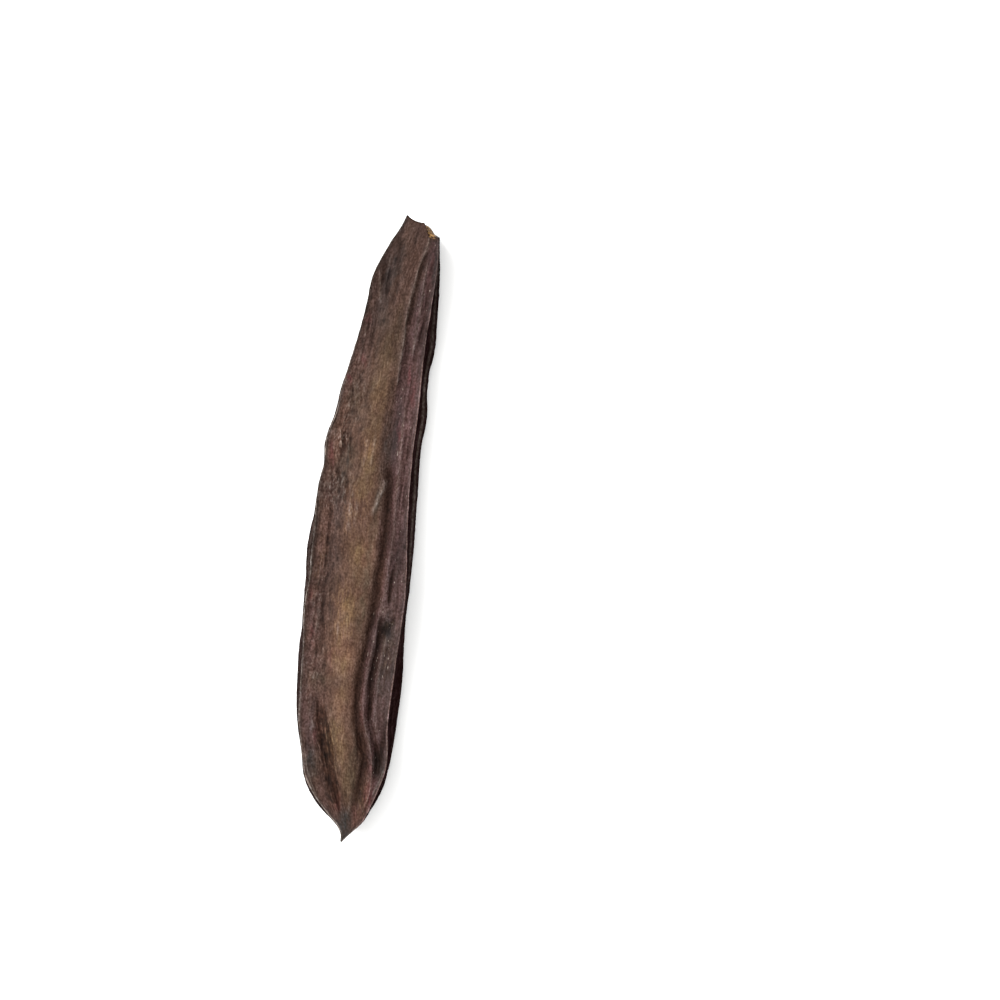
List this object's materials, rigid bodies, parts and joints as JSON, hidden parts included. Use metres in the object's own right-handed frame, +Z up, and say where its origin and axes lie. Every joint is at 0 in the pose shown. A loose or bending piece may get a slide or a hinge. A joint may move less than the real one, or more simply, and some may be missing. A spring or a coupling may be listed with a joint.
{
  "type": "carob pod",
  "caption": "Dried carob pod: a long, flat, gently curved seed pod with thick rims, a swollen seed line, long furrows, a torn stem end and a pointed beak.",
  "frame": {"origin": "centre of the bounding box's underside, on the surface that the pod lies on", "axes": "+Z up, out of the broad face that shows; +Y along the pod towards its torn stem end, so the beak points along -Y; +X across the pod, towards the margin on the right when the stem end is away from the viewer"},
  "size_m": [0.0294, 0.163, 0.0099],
  "materials": {
    "husk": "dried leathery brown skin with a dull sheen"
  },
  "bodies": {
    "root": {"pod": "husk"}
  },
  "joints": []
}
